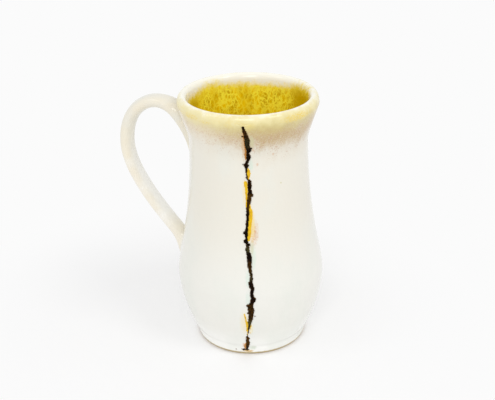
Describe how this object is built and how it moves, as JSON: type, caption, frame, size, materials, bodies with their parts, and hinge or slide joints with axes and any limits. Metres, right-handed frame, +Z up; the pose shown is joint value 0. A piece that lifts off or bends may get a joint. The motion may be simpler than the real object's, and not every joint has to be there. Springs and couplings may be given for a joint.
{
  "type": "cracked mug",
  "caption": "Tall thrown ceramic mug with a full belly, a waist, a flared lip and a pulled handle; a long ragged crack filled with dark fused slag runs down its front.",
  "frame": {"origin": "centre of the flat base, on the surface the mug stands on", "axes": "+Z up along the mug's axis; the handle points along -X; the crack runs down the front, 71 degrees clockwise from +X seen from above, towards -Y"},
  "size_m": [0.116, 0.0796, 0.14],
  "materials": {
    "cream_glaze": "gloss",
    "yellow_liner": "gloss",
    "slag_vein": "rough crust",
    "amber_glaze": "gloss",
    "bare_clay": "matt"
  },
  "bodies": {
    "root": {"mug": "cream_glaze"}
  },
  "joints": []
}
